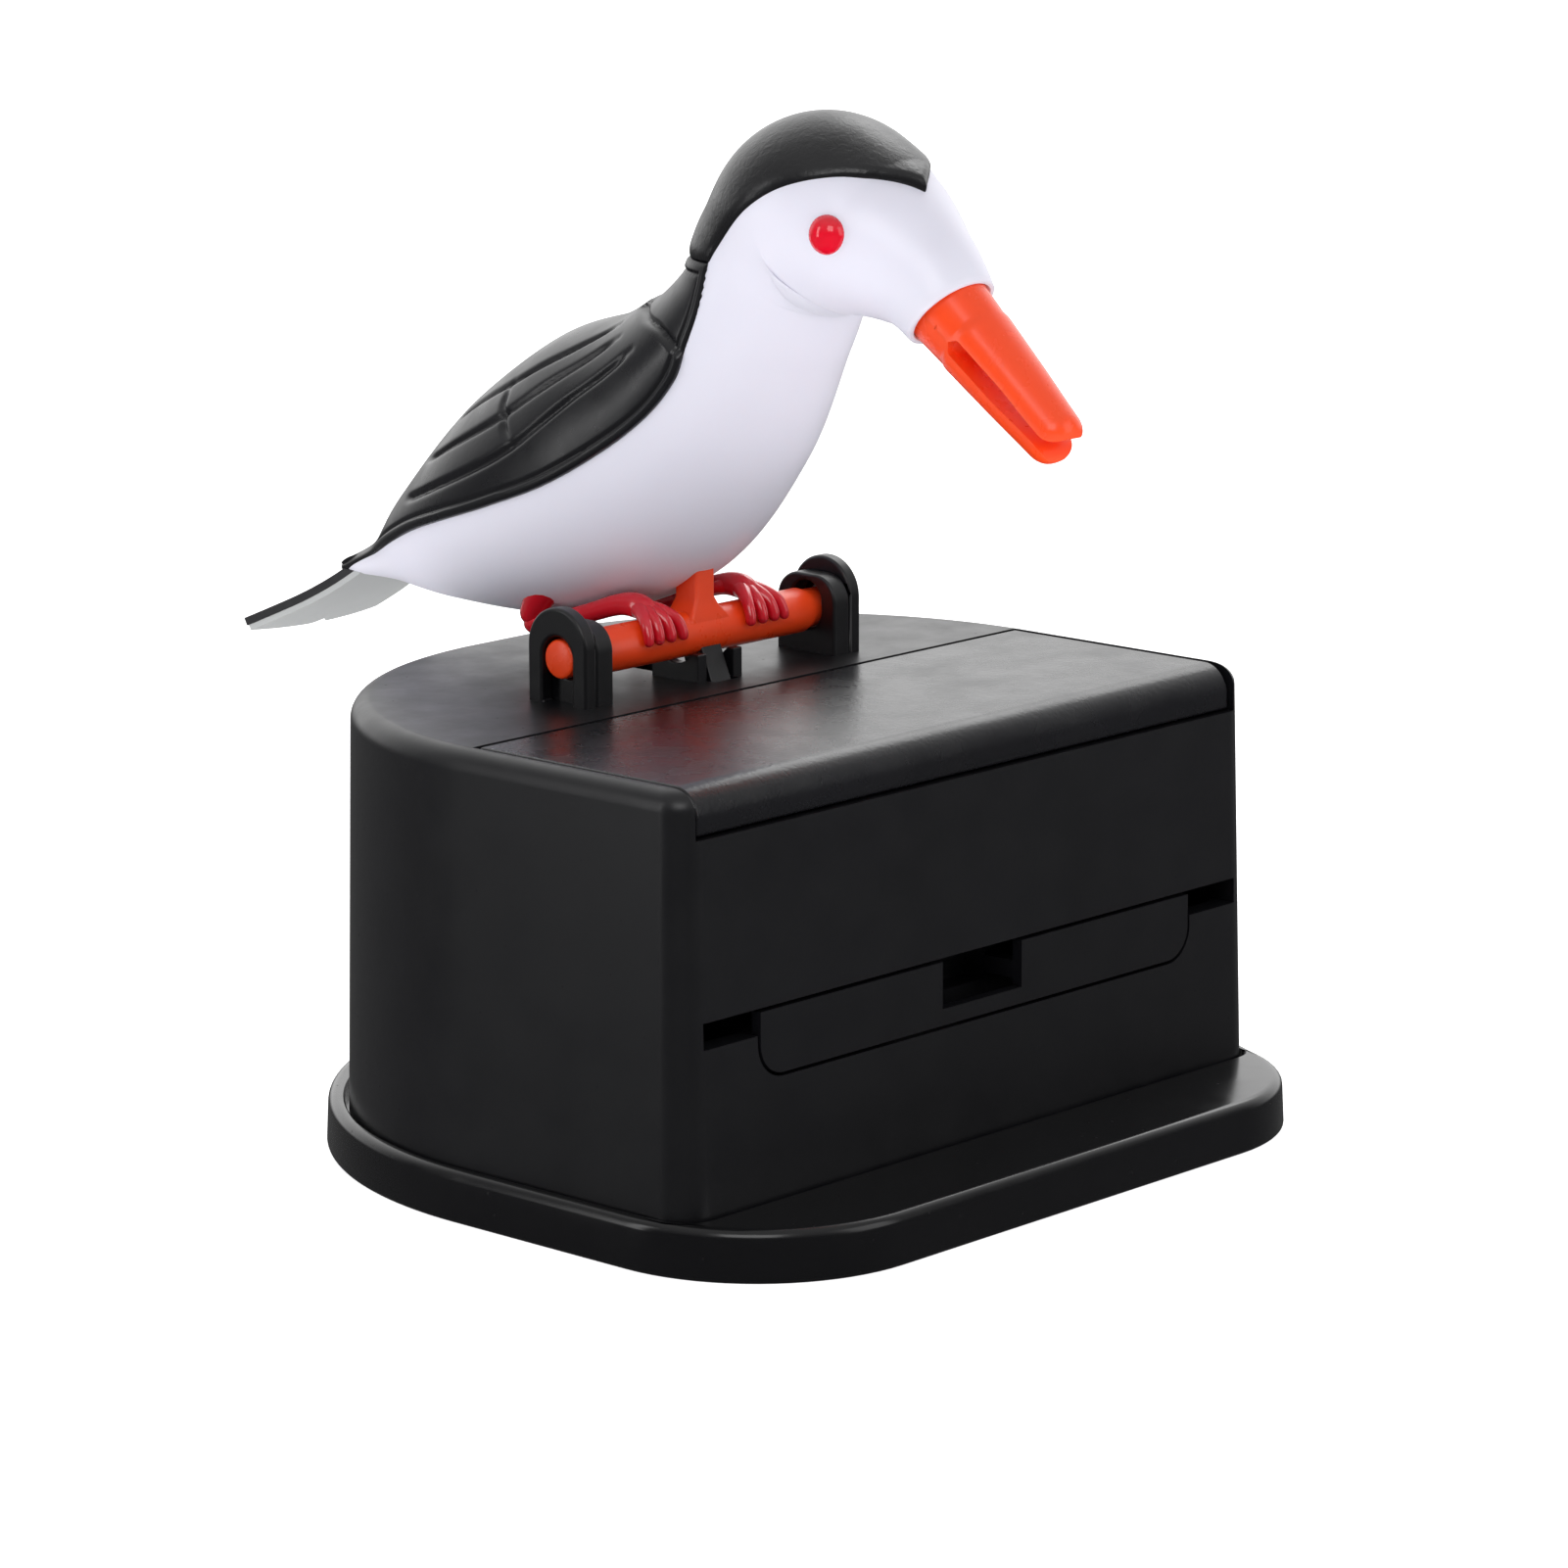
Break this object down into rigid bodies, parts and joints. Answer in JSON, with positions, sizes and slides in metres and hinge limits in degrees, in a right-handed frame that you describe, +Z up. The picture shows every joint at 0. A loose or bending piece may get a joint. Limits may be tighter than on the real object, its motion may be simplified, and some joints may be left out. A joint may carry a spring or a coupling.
{
  "type": "toothpick dispenser",
  "caption": "Toothpick dispenser: a bird on a perch tips forward over a D-shaped case, and its beak takes a toothpick from a tray that slides out to meet it.",
  "frame": {"origin": "on the table, under the middle of the base plate", "axes": "+X along the perch, -Y the front face that the beak points to, +Z up"},
  "size_m": [0.075, 0.0913, 0.0878],
  "materials": {
    "base_black": "gloss moulded",
    "case_black": "satin, fine spark-eroded texture",
    "lid_black": "satin, fine spark-eroded texture",
    "tray_black": "satin",
    "frame_grey": "satin",
    "rocker_natural": "moulded acetal",
    "steel": "zinc plated",
    "perch_orange": "gloss moulded",
    "body_white": "gloss moulded",
    "cover_black": "gloss moulded",
    "cap_black": "satin, wrinkled",
    "tail_black": "gloss moulded",
    "tail_grey": "satin",
    "beak_orange": "gloss moulded",
    "eye_red": "polished",
    "leg_red": "gloss painted"
  },
  "bodies": {
    "case": {"base_plate": "base_black", "case_shell": "case_black", "refill_lid": "lid_black", "inner_frame": "frame_grey", "hopper_chute": "frame_grey", "base_screws": "steel", "frame_screws": "steel", "rocker_pin": "steel", "return_spring": "steel"},
    "bird": {"perch": "perch_orange", "lever_pin": "steel", "perch_screw": "steel", "bird_body": "body_white", "back_cover": "cover_black", "head_cap": "cap_black", "tail_top": "tail_black", "tail_under": "tail_grey", "beak": "beak_orange", "eye_left": "eye_red", "eye_right": "eye_red", "leg_left": "leg_red", "leg_right": "leg_red"},
    "rocker": {"rocker_arm": "rocker_natural"},
    "tray": {"feed_tray": "tray_black"}
  },
  "joints": [
    {"name": "bird_tilt", "type": "hinge", "parent": "case", "child": "bird", "pos_m": [0, 0.0065, 0.0428], "axis": [1, 0, 0], "range_deg": [0, 60], "stiffness_Nm_per_rad": 0.00142, "springref_deg": -33.98},
    {"name": "rocker_turn", "type": "hinge", "parent": "case", "child": "rocker", "pos_m": [0, 0.00919, 0.02754], "axis": [1, 0, 0], "range_deg": [-59, 0]},
    {"name": "tray_slide", "type": "slide", "parent": "case", "child": "tray", "axis": [0, -1, 0], "range_m": [0, 0.0089], "deforming": ["return_spring"]}
  ],
  "couplings": [
    {"joint": "rocker_turn", "follows": "bird_tilt", "ratio": -0.98},
    {"joint": "tray_slide", "follows": "bird_tilt", "m_per_rad": 0.008438}
  ]
}
